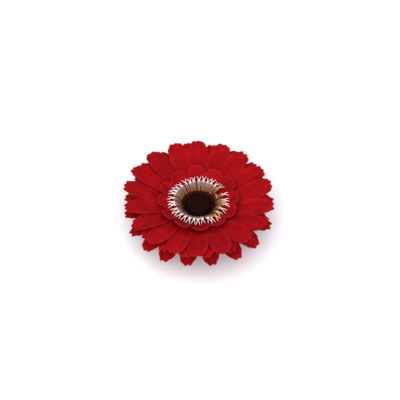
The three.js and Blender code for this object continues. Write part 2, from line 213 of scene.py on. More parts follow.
def makeCloth():
    look = clothLook
    material, tree, where = newMaterial("red polyester satin, heat-pressed")
    flat = addNode(tree, "UVMap", {"uv_map": "flatCut"})["UV"]
    edge = addNode(tree, "Attribute", {"attribute_name": "edge"})["Fac"]
    vein = addNode(tree, "Attribute", {"attribute_name": "vein"})["Fac"]
    tone = addNode(tree, "Attribute", {"attribute_name": "tone"})["Fac"]
    stretched = addNode(tree, "Mapping", None, {
        "Vector": flat, "Scale": (1 / look["streakWidth"], 1 / look["streakLength"], 1.0)})["Vector"]
    streak = addNode(tree, "TexNoise", None, {"Vector": stretched, "Scale": 1.0, "Detail": 3.0})["Fac"]
    blotch = addNode(tree, "TexNoise", None, {
        "Vector": where, "Scale": perSize(look["blotchSize"]), "Detail": 4.0, "Roughness": 0.6})["Fac"]
    dye = addNode(tree, "Mix", {"data_type": "FLOAT"}, {0: look["streakShare"], 2: streak, 3: blotch})[0]
    dyed = addNode(tree, "ValToRGB", None, {"Fac": dye}, [
        (0.38, look["deepRed"]), (0.58, look["red"])])["Color"]
    bright = addNode(tree, "MapRange", None, {
        "Value": tone, 3: look["darkest"], 4: look["brightest"]})["Result"]
    toned = addNode(tree, "HueSaturation", None, {"Value": bright, "Color": dyed})["Color"]
    # painted shade: the cloth darkens towards deep red along the pressed vein grooves
    paintedVeinShade = addNode(tree, "Math", {"operation": "MULTIPLY"}, {0: vein, 1: look["veinShadeDepth"]})["Value"]
    veinShaded = addNode(tree, "Mix", {"data_type": "RGBA"}, {
        0: paintedVeinShade, 6: toned, 7: linear(look["deepRed"])})[2]
    fray = addNode(tree, "TexNoise", None, {
        "Vector": where, "Scale": perSize(look["fraySize"]), "Detail": 2.0})["Fac"]
    worn = addNode(tree, "Math", {"operation": "MULTIPLY"}, {0: edge, 1: fray})["Value"]
    colour = addNode(tree, "Mix", {"data_type": "RGBA"}, {
        0: worn, 6: veinShaded, 7: linear(look["paleEdge"])})[2]
    threads = [
        addNode(tree, "TexWave", {"bands_direction": direction}, {
            "Vector": flat, "Scale": 2 * math.pi / 20 / look["threadSize"], "Distortion": 0.8})["Fac"]
        for direction in ("X", "Y")]
    weave = addNode(tree, "Math", {"operation": "MAXIMUM"}, {0: threads[0], 1: threads[1]})["Value"]
    relief = addNode(tree, "Math", {"operation": "MULTIPLY_ADD"}, {
        0: streak, 1: look["streakRelief"], 2: weave})["Value"]
    normal = addNode(tree, "Bump", None, {
        "Height": relief, "Distance": look["weaveDepth"] * mm, "Strength": look["bump"]})["Normal"]
    surface = addNode(tree, "BsdfPrincipled", None, {
        "Base Color": colour, "Normal": normal, "Roughness": look["roughness"],
        "Specular IOR Level": look["shine"], "Sheen Weight": look["bloom"], "Sheen Roughness": 0.5,
        "Sheen Tint": linear(look["sheen"])})["BSDF"]
    addNode(tree, "OutputMaterial", None, {"Surface": surface})
    return material


# low-density polyethylene, moulded and hand-tinted: near black at the very foot, painted shade where it goes
# down into the dark centre, then golden, waxy greyish pink up the tube with dark lengthwise lines, which are
# painted shade down the groove and along the rounded sides, and milky white where the forks are thin; a few
# florets are tinted gold all the way
stamenLook = {
    # both tints start near black at the foot: painted shade where the foot goes down into the dark centre
    "pink": [(0.0, "#1a0804"), (0.16, "#3c200a"), (0.24, "#a06c2c"), (0.33, "#6c4640"), (0.5, "#785452"),
             (0.63, "#8c6c6c"), (0.7, "#e4dcdc"), (0.8, "#ffffff")],
    "gold": [(0.0, "#1a0804"), (0.18, "#3c1e04"), (0.4, "#6e400a"), (0.6, "#8e5e1a"), (0.72, "#b48c46"),
             (0.84, "#f6efe0")],
    # the line colour is painted shade, laid down the middle groove and along the tube's rounded sides
    "line": "#3a1816", "lineShadeDepth": 0.85, "tintWander": 1.2, "tintShift": 0.07, "roughness": 0.36,
    "shine": 0.35, "milkiness": 0.1,
}


def makeStamenPlastic():
    look = stamenLook
    material, tree, where = newMaterial("tinted polyethylene, moulded")
    along = addNode(tree, "Attribute", {"attribute_name": "along"})["Fac"]
    gold = addNode(tree, "Attribute", {"attribute_name": "gold"})["Fac"]
    line = addNode(tree, "Attribute", {"attribute_name": "line"})["Fac"]
    wander = addNode(tree, "TexNoise", None, {
        "Vector": where, "Scale": perSize(look["tintWander"]), "Detail": 3.0})["Fac"]
    offset = addNode(tree, "MapRange", None, {
        "Value": wander, 3: -look["tintShift"], 4: look["tintShift"]})["Result"]
    shifted = addNode(tree, "Math", {"operation": "ADD"}, {0: along, 1: offset})["Value"]
    pinkTint = addNode(tree, "ValToRGB", None, {"Fac": shifted}, look["pink"])["Color"]
    goldTint = addNode(tree, "ValToRGB", None, {"Fac": shifted}, look["gold"])["Color"]
    tinted = addNode(tree, "Mix", {"data_type": "RGBA"}, {0: gold, 6: pinkTint, 7: goldTint})[2]
    # painted shade: the tube darkens down its groove and along its rounded sides
    depth = addNode(tree, "Math", {"operation": "MULTIPLY"}, {0: line, 1: look["lineShadeDepth"]})["Value"]
    lineShaded = addNode(tree, "Mix", {"data_type": "RGBA"}, {0: depth, 6: tinted, 7: linear(look["line"])})[2]
    surface = addNode(tree, "BsdfPrincipled", None, {
        "Base Color": lineShaded, "Roughness": look["roughness"], "Specular IOR Level": look["shine"],
        "IOR": 1.51, "Subsurface Weight": look["milkiness"],
        "Subsurface Radius": (0.5 * mm, 0.35 * mm, 0.3 * mm)})["BSDF"]
    addNode(tree, "OutputMaterial", None, {"Surface": surface})
    return material


# polyethylene again, near black with a brown cast, with a coarse mould grain, and a painted highlight that
# lightens the tips of the bristles and buds
darkLook = {
    "low": "#070100", "high": "#190503", "tip": "#2c0f09", "grainSize": 0.6, "grainDepth": 0.08,
    "tipHighlightShare": 0.8, "roughness": 0.65, "shine": 0.06,
}


def makeDarkPlastic():
    look = darkLook
    material, tree, where = newMaterial("black-brown polyethylene, moulded")
    tip = addNode(tree, "Attribute", {"attribute_name": "tip"})["Fac"]
    grain = addNode(tree, "TexNoise", None, {
        "Vector": where, "Scale": perSize(look["grainSize"]), "Detail": 3.0})["Fac"]
    dark = addNode(tree, "ValToRGB", None, {"Fac": grain}, [(0.3, look["low"]), (0.7, look["high"])])["Color"]
    # painted highlight: the tips lighten towards the tip colour
    tipHighlight = addNode(tree, "Math", {"operation": "MULTIPLY"}, {0: tip, 1: look["tipHighlightShare"]})["Value"]
    colour = addNode(tree, "Mix", {"data_type": "RGBA"}, {0: tipHighlight, 6: dark, 7: linear(look["tip"])})[2]
    normal = addNode(tree, "Bump", None, {
        "Height": grain, "Distance": look["grainDepth"] * mm, "Strength": 0.5})["Normal"]
    surface = addNode(tree, "BsdfPrincipled", None, {
        "Base Color": colour, "Normal": normal, "Roughness": look["roughness"],
        "Specular IOR Level": look["shine"], "IOR": 1.51})["BSDF"]
    addNode(tree, "OutputMaterial", None, {"Surface": surface})
    return material


# green polyethylene, moulded: waxy and mottled, with a soft grain
greenLook = {
    "low": "#2f5523", "high": "#5b8440", "mottleSize": 2.6, "speckSize": 0.5, "speckDepth": 0.06,
    "roughness": 0.48,
}


def makeGreenPlastic():
    look = greenLook
    material, tree, where = newMaterial("green polyethylene, moulded")
    mottle = addNode(tree, "TexNoise", None, {
        "Vector": where, "Scale": perSize(look["mottleSize"]), "Detail": 4.0, "Roughness": 0.6})["Fac"]
    speck = addNode(tree, "TexNoise", None, {
        "Vector": where, "Scale": perSize(look["speckSize"]), "Detail": 2.0})["Fac"]
    colour = addNode(tree, "ValToRGB", None, {"Fac": mottle}, [
        (0.3, look["low"]), (0.7, look["high"])])["Color"]
    normal = addNode(tree, "Bump", None, {
        "Height": speck, "Distance": look["speckDepth"] * mm, "Strength": 0.5})["Normal"]
    surface = addNode(tree, "BsdfPrincipled", None, {
        "Base Color": colour, "Normal": normal, "Roughness": look["roughness"], "IOR": 1.51})["BSDF"]
    addNode(tree, "OutputMaterial", None, {"Surface": surface})
    return material


# wool-mix felt, pressed: matted fibres in no direction, no shine, and a soft bloom where they stand up
feltLook = {
    "shades": [(0.36, "#5c0810"), (0.5, "#860f18"), (0.66, "#a82a32")], "bloom": "#d8606a", "fibreSize": 0.5,
    "clumpSize": 3.2, "fibreDepth": 0.25, "roughness": 0.95,
}


def makeFelt():
    look = feltLook
    material, tree, where = newMaterial("red felt, pressed")
    fibre = addNode(tree, "TexNoise", None, {
        "Vector": where, "Scale": perSize(look["fibreSize"]), "Detail": 6.0, "Roughness": 0.7,
        "Distortion": 1.6})["Fac"]
    clump = addNode(tree, "TexNoise", None, {
        "Vector": where, "Scale": perSize(look["clumpSize"]), "Detail": 2.0})["Fac"]
    mixed = addNode(tree, "Mix", {"data_type": "FLOAT"}, {0: 0.3, 2: fibre, 3: clump})[0]
    colour = addNode(tree, "ValToRGB", None, {"Fac": mixed}, look["shades"])["Color"]
    normal = addNode(tree, "Bump", None, {
        "Height": fibre, "Distance": look["fibreDepth"] * mm, "Strength": 0.8})["Normal"]
    surface = addNode(tree, "BsdfPrincipled", None, {
        "Base Color": colour, "Normal": normal, "Roughness": look["roughness"], "Specular IOR Level": 0.1,
        "Sheen Weight": 0.35, "Sheen Roughness": 0.6, "Sheen Tint": linear(look["bloom"])})["BSDF"]
    addNode(tree, "OutputMaterial", None, {"Surface": surface})
    return material


# hot-melt glue, squeezed out and set: milky, waxy and glossy
glueLook = {"low": "#c9bd98", "high": "#e6dfc8", "cloudSize": 2.0, "cloudDepth": 0.15, "roughness": 0.2}


def makeGlue():
    look = glueLook
    material, tree, where = newMaterial("hot-melt glue, set")
    cloud = addNode(tree, "TexNoise", None, {
        "Vector": where, "Scale": perSize(look["cloudSize"]), "Detail": 3.0})["Fac"]
    colour = addNode(tree, "ValToRGB", None, {"Fac": cloud}, [
        (0.3, look["low"]), (0.7, look["high"])])["Color"]
    normal = addNode(tree, "Bump", None, {
        "Height": cloud, "Distance": look["cloudDepth"] * mm, "Strength": 0.5})["Normal"]
    surface = addNode(tree, "BsdfPrincipled", None, {
        "Base Color": colour, "Normal": normal, "Roughness": look["roughness"], "IOR": 1.49,
        "Subsurface Weight": 0.3, "Subsurface Radius": (0.9 * mm, 0.8 * mm, 0.6 * mm)})["BSDF"]
    addNode(tree, "OutputMaterial", None, {"Surface": surface})
    return material


# low-carbon steel, pressed and nickel-plated: bright and slightly warm, with fine lengthwise scratches
nickelLook = {
    "low": "#bcb8b0", "high": "#d2cfc8", "scratchSize": 0.3, "smudgeSize": 4.0, "scratchDepth": 0.03,
    "smooth": 0.18, "rough": 0.36,
}


def makeNickel():
    look = nickelLook
    material, tree, where = newMaterial("steel, pressed and nickel-plated")
    stretched = addNode(tree, "Mapping", None, {"Vector": where, "Scale": (0.1, 1.0, 1.0)})["Vector"]
    scratch = addNode(tree, "TexNoise", None, {
        "Vector": stretched, "Scale": perSize(look["scratchSize"]), "Detail": 4.0, "Roughness": 0.65})["Fac"]
    smudge = addNode(tree, "TexNoise", None, {
        "Vector": where, "Scale": perSize(look["smudgeSize"]), "Detail": 3.0})["Fac"]
    rough = addNode(tree, "MapRange", None, {
        "Value": smudge, 1: 0.3, 2: 0.7, 3: look["smooth"], 4: look["rough"]})["Result"]
    colour = addNode(tree, "ValToRGB", None, {"Fac": smudge}, [
        (0.3, look["low"]), (0.7, look["high"])])["Color"]
    normal = addNode(tree, "Bump", None, {
        "Height": scratch, "Distance": look["scratchDepth"] * mm, "Strength": 0.3})["Normal"]
    surface = addNode(tree, "BsdfPrincipled", None, {
        "Base Color": colour, "Normal": normal, "Roughness": rough, "Metallic": 1.0})["BSDF"]
    addNode(tree, "OutputMaterial", None, {"Surface": surface})
    return material


# spring steel wire, drawn and oiled: darker than the plating, with draw marks
wireLook = {"low": "#85847f", "high": "#a9a8a3", "markSize": 0.5, "markDepth": 0.02, "roughness": 0.3}


def makeWire():
    look = wireLook
    material, tree, where = newMaterial("spring steel wire, drawn")
    mark = addNode(tree, "TexNoise", None, {
        "Vector": where, "Scale": perSize(look["markSize"]), "Detail": 3.0})["Fac"]
    colour = addNode(tree, "ValToRGB", None, {"Fac": mark}, [
        (0.3, look["low"]), (0.7, look["high"])])["Color"]
    normal = addNode(tree, "Bump", None, {
        "Height": mark, "Distance": look["markDepth"] * mm, "Strength": 0.3})["Normal"]
    surface = addNode(tree, "BsdfPrincipled", None, {
        "Base Color": colour, "Normal": normal, "Roughness": look["roughness"], "Metallic": 1.0})["BSDF"]
    addNode(tree, "OutputMaterial", None, {"Surface": surface})
    return material


cloth = makeCloth()
stamenPlastic = makeStamenPlastic()
darkPlastic = makeDarkPlastic()
greenPlastic = makeGreenPlastic()
felt = makeFelt()
glue = makeGlue()
nickel = makeNickel()
wire = makeWire()
print("materials made")


# each sheet is die-cut from flat cloth, petals round a hub, and heat-pressed to shape; lift and curl raise a
# petal towards its tip, past blunt its end slopes back along taper, and the rest are the small differences
# from petal to petal, in millimetres and degrees; drift swings the petals near driftAt sideways, so that they
# lie under those of the top sheet with gaps between, and rim is how pale the cut edge is
petalCut = {
    "thickness": 0.34, "hole": 1.9, "hub": 10.5, "slit": 13.0, "columns": 30, "hubRows": 3, "rows": 23,
    "edgeWidth": 0.7, "clearance": 0.15, "veinAt": 0.34, "veinWidth": 0.1, "driftAt": 182.0,
    "driftWidth": 60.0, "rowBias": 0.85, "flatGrowth": 1.03, "waveSize": 6.0, "softAngle": 50,
    "seat": 0.3,
}
# rays look down from this far above; a lift then spreads this many times, and keeps these shares of itself
# at each step across and along the petal
clearing = {"above": 60, "times": 5, "across": 0.86, "along": 0.7}
petalSheets = {
    "lower_cloth_petals": {
        "node": "lower_petals", "count": 18, "radius": 50.0, "turn": 0.5, "lift": 8.6, "curl": -6.2,
        "half": 9.5, "flare": 0.1, "shoulder": 0.74, "blunt": 0.22, "taper": (1.3, 0.75), "teeth": 5,
        "tooth": 1.5, "cup": 0.5, "vein": 0.3, "sway": 1.5, "twist": 3.5, "lean": 4.5, "rise": 1.2,
        "droop": 1.2, "wave": 0.8, "drift": 9.0, "seed": 11, "rim": 0.5,
    },
    "middle_cloth_petals": {
        "node": "middle_petals", "count": 18, "radius": 49.2, "turn": -3.0, "lift": 13.4, "curl": -3.6,
        "half": 9.5, "flare": 0.1, "shoulder": 0.74, "blunt": 0.22, "taper": (1.35, 0.75), "teeth": 5,
        "tooth": 1.5, "cup": 0.5, "vein": 0.3, "sway": 1.8, "twist": 3.5, "lean": 4.5, "rise": 1.2,
        "droop": 1.0, "wave": 0.8, "drift": 12.0, "seed": 5, "rim": 0.5,
    },
    "upper_cloth_petals": {
        "node": "upper_petals", "count": 18, "radius": 49.6, "turn": 10.0, "lift": 14.5, "curl": -2.9,
        "half": 9.6, "flare": 0.12, "shoulder": 0.76, "blunt": 0.25, "taper": (1.6, 0.72), "teeth": 5,
        "tooth": 1.2, "cup": 0.8, "vein": 0.35, "sway": 1.5, "twist": 3.5, "lean": 4.5, "rise": 1.1,
        "droop": 1.4, "wave": 0.9, "drift": 0.0, "seed": 23, "rim": 0.6,
    },
    "inner_cloth_petals": {
        "node": "inner_petals", "count": 12, "radius": 27.0, "turn": 4.0, "lift": 4.4, "curl": 5.0,
        "half": 14.8, "flare": 0.14, "shoulder": 0.72, "blunt": 0.0, "taper": (2.6, 0.5), "teeth": 0,
        "tooth": 0.0, "cup": 1.4, "vein": 0.3, "sway": 1.8, "twist": 4.0, "lean": 4.0, "rise": 0.9,
        "droop": 0.0, "wave": 1.8, "drift": 0.0, "seed": 31, "rim": 1.0,
    },
}


def petalReach(cut, across, toothDepth, phase=0.0):
    # how far from the axis a petal ends, at a place across it from -1 to 1; past blunt the end slopes back
    share = min(1.0, abs(across))
    fall = max(0.0, share - cut["blunt"]) / (1 - cut["blunt"])
    start, finish = cut["taper"]
    reach = cut["radius"] * (cut["shoulder"] + (1 - cut["shoulder"]) * (1 - fall ** start) ** finish)
    if cut["teeth"]:
        # 0 at the point of each tooth and 1 at the notch between two
        notch = abs(2 * (((across + phase) * cut["teeth"] / 2) % 1.0) - 1)
        reach -= toothDepth * notch * ease(1 - share, 0.0, 0.15)
    return reach


def petalTraits(cut):
    draw = random.Random(cut["seed"])
    return [{
        "sway": draw.uniform(-1, 1) * cut["sway"], "twist": cut["lean"] + draw.uniform(-1, 1) * cut["twist"],
        "rise": draw.uniform(-1, 1) * cut["rise"], "droop": draw.uniform(0.0, 1.6) * cut["droop"],
        "tooth": draw.uniform(0.5, 1.2) * cut["tooth"], "length": draw.uniform(0.975, 1.008),
        "tone": draw.random(), "bow": draw.uniform(-1, 1), "tipTilt": draw.uniform(-1, 1),
        "phase": 1 / 3 + draw.uniform(-0.12, 0.12),
    } for _ in range(cut["count"])]


def petalPoint(cut, trait, petal, across, radius, reach, hubHeight):
    # the pressed shape: where a place on the flat cut ends up
    s = max(0.0, (radius - petalCut["hub"]) / (cut["radius"] - petalCut["hub"]))
    half = cut["half"] * (1 + cut["flare"] * ease(s, 0.0, 0.5))
    heading = cut["turn"] + petal * 360 / cut["count"]
    drift = cut["drift"] * math.exp(-((heading % 360 - petalCut["driftAt"]) / petalCut["driftWidth"]) ** 2)
    degrees = heading + across * half + (trait["sway"] + drift) * s
    side = radius * math.radians(across * half)
    height = hubHeight + cut["lift"] * s + cut["curl"] * s * s
    height += trait["rise"] * s * s + 0.5 * trait["bow"] * math.sin(math.pi * s)
    height -= trait["droop"] * ease(s, 0.75, 1.08)
    height += cut["cup"] * across * across * ease(s, 0.1, 0.6)
    vein = math.exp(-((abs(across) - petalCut["veinAt"]) / petalCut["veinWidth"]) ** 2)
    vein *= ease(s, 0.02, 0.15) * (1 - ease(s, 0.8, 1.0))
    height -= cut["vein"] * vein
    height += math.tan(math.radians(trait["twist"])) * side * ease(s, 0.0, 0.8)
    height += 0.8 * trait["tipTilt"] * across * ease(s, 0.7, 1.0)
    x, y = turned(radius, 0, degrees)
    place = Vector((x / petalCut["waveSize"], y / petalCut["waveSize"], cut["seed"]))
    height += cut["wave"] * noise.noise(place) * ease(s, 0.1, 0.6)
    toEdge = min(reach - radius, (1 - abs(across)) * math.radians(half) * radius)
    edge = (1 - ease(toEdge, 0.0, petalCut["edgeWidth"])) * ease(s, 0.02, 0.1) * cut["rim"]
    return (x * mm, y * mm, height * mm), (side, radius), edge, vein


def liftClear(points, rowCount, wide, below):
    # raises the cloth where it would sink into the sheet beneath, and eases the rise out sideways
    gap = (petalCut["thickness"] + petalCut["clearance"]) * mm
    tree = BVHTree.FromObject(below, bpy.context.evaluated_depsgraph_get())
    lifts = []
    for x, y, z in points:
        hit = tree.ray_cast(Vector((x, y, clearing["above"] * mm)), Vector((0, 0, -1)))[0]
        lifts.append(max(0.0, hit.z + gap - z) if hit else 0.0)
    across = petalCut["columns"] + 1
    for _ in range(clearing["times"]):
        spread = list(lifts)
        for i, lift in enumerate(lifts):
            row, step = divmod(i, wide)
            step %= across
            if step > 0:
                spread[i] = max(spread[i], clearing["across"] * lifts[i - 1])
            if step < across - 1:
                spread[i] = max(spread[i], clearing["across"] * lifts[i + 1])
            if row > 0:
                spread[i] = max(spread[i], clearing["along"] * lifts[i - wide])
            if row < rowCount - 1:
                spread[i] = max(spread[i], clearing["along"] * lifts[i + wide])
        lifts = spread
    return [(x, y, z + lift) for (x, y, z), lift in zip(points, lifts)]


def makePetals(name, cut, below):
    columns, hubRows, rows = petalCut["columns"], petalCut["hubRows"], petalCut["rows"]
    wide = cut["count"] * (columns + 1)
    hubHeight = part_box(cut["node"])[0].z / mm + petalCut["seat"]
    traits = petalTraits(cut)
    points, flat, edge, vein, tone = [], [], [], [], []
    for row in range(hubRows + rows + 1):
        for petal, trait in enumerate(traits):
            for step in range(columns + 1):
                across = 2 * step / columns - 1
                reach = petalReach(cut, across, trait["tooth"], trait["phase"]) * trait["length"]
                if row <= hubRows:
                    radius = petalCut["hole"] + (petalCut["slit"] - petalCut["hole"]) * row / hubRows
                else:
                    share = ((row - hubRows) / rows) ** petalCut["rowBias"]
                    radius = petalCut["slit"] + (reach - petalCut["slit"]) * share
                made = petalPoint(cut, trait, petal, across, radius, reach, hubHeight)
                points.append(made[0])
                flat.append(made[1])
                edge.append(made[2])
                vein.append(made[3])
                tone.append(trait["tone"] if row > hubRows else 0.5)
    if below:
        points = liftClear(points, hubRows + rows + 1, wide, below)
    faces = []
    for row in range(hubRows + rows):
        for column in range(wide):
            # beyond the hub, a slit parts each petal from the next
            if column % (columns + 1) == columns and row >= hubRows:
                continue
            here, there = row * wide + column, row * wide + (column + 1) % wide
            faces.append((here, here + wide, there + wide, there))
    mesh = bpy.data.meshes.new(name)
    mesh.from_pydata(points, [], faces)
    piece = bpy.data.objects.new(name, mesh)
    bpy.context.collection.objects.link(piece)
    uv = mesh.uv_layers.new(name="flatCut")
    for loop in mesh.loops:
        uv.data[loop.index].uv = flat[loop.vertex_index]
    # the vein mask also sets where the cloth's colour carries painted shade in the grooves
    for label, values in (("edge", edge), ("vein", vein), ("tone", tone)):
        setAttribute(piece, label, values)
    applyModifier(piece, "SOLIDIFY", thickness=petalCut["thickness"] * mm, offset=0.0)
    smooth(piece, petalCut["softAngle"])
    finishPiece(piece, name, cloth, cut["node"])
    cutArea(cut)
    print(name, "made")
    return piece


def cutArea(cut):
    # the hub less its hole, and each petal's outline summed across it, in square metres
    steps = 200
    half = math.radians(cut["half"] * (1 + cut["flare"] / 2))
    petal = sum(
        0.5 * (petalReach(cut, -1 + (2 * i + 1) / steps, cut["tooth"]) ** 2 - petalCut["slit"] ** 2)
        for i in range(steps)) * 2 * half / steps
    return (math.pi * (petalCut["slit"] ** 2 - petalCut["hole"] ** 2) + cut["count"] * petal) * mm * mm


below = None
for name, cut in petalSheets.items():
    below = makePetals(name, cut, below)


# a floret is a flattened tube that widens from its foot and ends in a thin Y; it is modelled straight, then
# curled outwards along a curve, given by four points (distance from the axis, height); those between goldFrom
# and goldTo are golden and out of order, and one is bent over inwards
florets = {
    "count": 34, "plateRadius": 10.8, "plateHole": 3.2, "plateTop": 18.85, "stem": 9.5, "fork": 4.0,
    "footWidth": 0.9, "footDepth": 0.55, "neckWidth": 0.7, "neck": 0.4, "prongWidth": 0.42,
    "curve": [(10.8, 18.4), (11.5, 22.0), (15.2, 26.2), (20.6, 23.9)],
    "bent": 2, "bentEnd": [(13.0, 26.0), (12.0, 22.5)], "turnDrift": 1.8, "block": 0.4,
    "armOut": 0.6, "armTip": 0.62, "groove": 0.5, "lineWidth": 0.2, "seed": 7, "goldFrom": -62.0,
    "goldTo": 48.0, "goldMess": 1.5, "mess": 0.4, "radiusDrift": 0.4, "heightDrift": 0.35,
}
floretSections = [  # share of the stem, width, depth
    (0.12, 1.0, 0.62), (0.35, 1.7, 0.85), (0.65, 2.4, 1.0), (0.9, 2.75, 0.95), (1.0, 2.4, 0.8),
]


def straightFloret():
    length = florets["stem"] + florets["fork"]
    bpy.ops.mesh.primitive_cube_add(size=1, location=(0, 0, 0))
    piece = active()
    piece.scale = (florets["footWidth"] * mm, florets["footDepth"] * mm, florets["block"] * mm)
    settle(piece)
    bpy.ops.object.mode_set(mode="EDIT")
    bpy.ops.mesh.select_all(action="SELECT")
    bpy.ops.mesh.bisect(plane_co=(0, 0, 0), plane_no=(1, 0, 0))
    selectFaces(piece, lambda centre, normal: normal.z > 0.9)
    height, width, depth = florets["block"] / 2, florets["footWidth"], florets["footDepth"]
    for share, newWidth, newDepth in floretSections:
        top = florets["stem"] * share
        extrude((0, 0, top - height), (newWidth / width, newDepth / depth, 1), (0, 0, top))
        height, width, depth = top, newWidth, newDepth
    extrude((0, 0, 0), (florets["neckWidth"] / width, 0.55, 1), (0, 0, height))
    extrude((0, 0, florets["neck"]), (0.95, 0.9, 1))
    objectMode()
    # each arm of the Y swings out from its half of the neck and comes to a point
    fork = height + florets["neck"]
    middle = fork + 0.5 * (length - fork)
    start = florets["neckWidth"] / 4
    for side in (-1, 1):
        selectFaces(
            piece, lambda centre, normal: normal.z > 0.9 and centre.x * side > 0 and centre.z > height)
        out, tip = florets["armOut"], florets["armTip"]
        extrude((side * out, 0, middle - fork), (florets["prongWidth"] / 2 / start, 0.95, 1),
                (side * (start + out), 0, middle))
        extrude((side * tip, 0, length - middle), (0.45, 0.5, 1), (side * (start + out + tip), 0, length))
        objectMode()
    # a shallow groove down the middle of the tube
    for point in piece.data.vertices:
        if abs(point.co.x) < 0.01 * mm and 0.3 * mm < point.co.z < (height + 0.01) * mm:
            point.co.y *= florets["groove"]
    applyModifier(piece, "SUBSURF", levels=2, render_levels=2)
    shares = [point.co.z / mm / length for point in piece.data.vertices]
    setAttribute(piece, "along", [min(1.0, max(0.0, share)) for share in shares])
    # line marks where painted shade darkens the tube, down the middle groove and along the rounded sides,
    # stopping at the neck
    setAttribute(piece, "line", [
        (math.exp(-(point.co.x / (florets["lineWidth"] * mm)) ** 2) + ease(abs(point.co.x) / mm, 0.85, 1.25))
        * (1 - ease(share, 0.62, 0.7)) for point, share in zip(piece.data.vertices, shares)])
    return piece


def curlFloret(piece, degrees, curve, lean, bow):
    # every point goes to its place beside the curve, then round the axis
    length = (florets["stem"] + florets["fork"]) * mm
    for point in piece.data.vertices:
        t = min(1.0, max(0.0, point.co.z / length))
        weights = [(1 - t) ** 3, 3 * t * (1 - t) ** 2, 3 * t * t * (1 - t), t ** 3]
        slopes = [-3 * (1 - t) ** 2, 3 * (1 - t) * (1 - 3 * t), 3 * t * (2 - 3 * t), 3 * t * t]
        radius = sum(w * p[0] for w, p in zip(weights, curve))
        height = sum(w * p[1] for w, p in zip(weights, curve))
        run = sum(w * p[0] for w, p in zip(slopes, curve))
        rise = sum(w * p[1] for w, p in zip(slopes, curve))
        steep = math.hypot(run, rise)
        across = point.co.x / mm + lean * t * t + bow * math.sin(math.pi * t)
        thick = point.co.y / mm
        x, y = turned(radius + thick * rise / steep, across, degrees)
        point.co = (x * mm, y * mm, (height - thick * run / steep) * mm)


def makeStamenCrown():
    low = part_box("stamen_crown")[0].z / mm
    plate = addCylinder(64, florets["plateRadius"], low, florets["plateTop"])
    selectFaces(plate, lambda centre, normal: abs(normal.z) > 0.9)
    bpy.ops.mesh.inset(thickness=(florets["plateRadius"] - florets["plateHole"]) * mm)
    bpy.ops.mesh.bridge_edge_loops()
    objectMode()
    applyModifier(plate, "BEVEL", width=0.15 * mm, segments=2, limit_method="ANGLE")
    # the plate sits at the ramps' near-black start, which is painted shade down in the dark centre
    for label, value in (("along", 0.05), ("gold", 0.0), ("line", 0.0)):
        setAttribute(plate, label, [value] * len(plate.data.vertices))
    model = straightFloret()
    draw = random.Random(florets["seed"])
    pieces = [plate]
    for i in range(florets["count"]):
        degrees = (i + 0.5) * 360 / florets["count"]
        degrees += draw.uniform(-florets["turnDrift"], florets["turnDrift"])
        facing = (degrees + 180) % 360 - 180
        onGoldSide = florets["goldFrom"] < facing < florets["goldTo"]
        mess = florets["goldMess"] if onGoldSide else florets["mess"]
        out, up = florets["radiusDrift"], florets["heightDrift"]
        curve = [
            (r + k * draw.uniform(-out, out) * mess, z + k * draw.uniform(-up, up) * mess)
            for k, (r, z) in enumerate(florets["curve"])]
        if i == florets["bent"]:
            curve[2:] = florets["bentEnd"]
        floret = copyOf(model)
        curlFloret(floret, degrees, curve, draw.uniform(-1, 1) * mess, draw.uniform(-0.4, 0.4) * mess)
        gold = draw.uniform(0.6, 1.0) if onGoldSide else draw.uniform(0.0, 0.35)
        setAttribute(floret, "gold", [gold] * len(floret.data.vertices))
        pieces.append(floret)
    remove(model)
    crown = joined(pieces)
    smooth(crown, 60)
    finishPiece(crown, "stamen_floret_crown", stamenPlastic, "stamen_crown")
    print("stamen crown made")


makeStamenCrown()


# three rows of fine curved bristles on a thin plate, and a domed button over it, covered with small buds
bristles = {
    "sides": 5, "radius": 0.24, "length": 2.5, "plate": 9.1, "plateThickness": 0.5, "seed": 3,
    "rows": [(9.0, 50, 66), (8.6, 46, 44), (8.1, 40, 24)],  # distance from the axis, count, lean
    "turnDrift": 2, "leanDrift": 9, "shortest": 0.8, "longest": 1.1, "sunk": 0.15,
}
button = {
    "bottom": 19.65, "edge": 0.4, "boss": 3.0, "bossBottom": 17.95, "buds": 190, "budRadius": 0.42,
    "budHeight": 0.5, "budSunk": 0.1, "budLean": 38, "goldenAngle": 137.508, "spread": 0.97, "seed": 9,
}


def oneBristle():
    # upright, tapering in three steps; the tips are marked for a painted highlight
    piece = addCylinder(bristles["sides"], bristles["radius"], 0, bristles["length"] * 0.3)
    selectFaces(piece, lambda centre, normal: normal.z > 0.9)
    step = bristles["length"] * 0.35
    extrude((0, 0, step), (0.75, 0.75, 1), (0, 0, 0))
    extrude((0.12, 0, step), (0.35, 0.35, 1), (0.12, 0, 0))
    objectMode()
    setAttribute(piece, "tip", [point.co.z / mm / bristles["length"] for point in piece.data.vertices])
    return piece


def makeBristleRing():
    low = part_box("bristle_ring")[0].z / mm
    top = low + bristles["plateThickness"]
    plate = addCylinder(64, bristles["plate"], low, top)
    applyModifier(plate, "BEVEL", width=0.12 * mm, segments=2, limit_method="ANGLE")
    setAttribute(plate, "tip", [0.0] * len(plate.data.vertices))
    model = oneBristle()
    draw = random.Random(bristles["seed"])
    pieces = [plate]
    for radius, count, lean in bristles["rows"]:
        for i in range(count):
            degrees = i * 360 / count + draw.uniform(-bristles["turnDrift"], bristles["turnDrift"])
            tilt = math.radians(lean + draw.uniform(-bristles["leanDrift"], bristles["leanDrift"]))
            size = draw.uniform(bristles["shortest"], bristles["longest"])
            bristle = copyOf(model)
            bristle.data.transform(
                Matrix.Rotation(math.radians(degrees), 4, "Z")
                @ Matrix.Translation((radius * mm, 0, (top - bristles["sunk"]) * mm))
                @ Matrix.Rotation(tilt, 4, "Y") @ Matrix.Scale(size, 4))
            pieces.append(bristle)
    remove(model)
    ring = joined(pieces)
    smooth(ring, 40)
    finishPiece(ring, "centre_bristles", darkPlastic, "bristle_ring")
    print("bristle ring made")


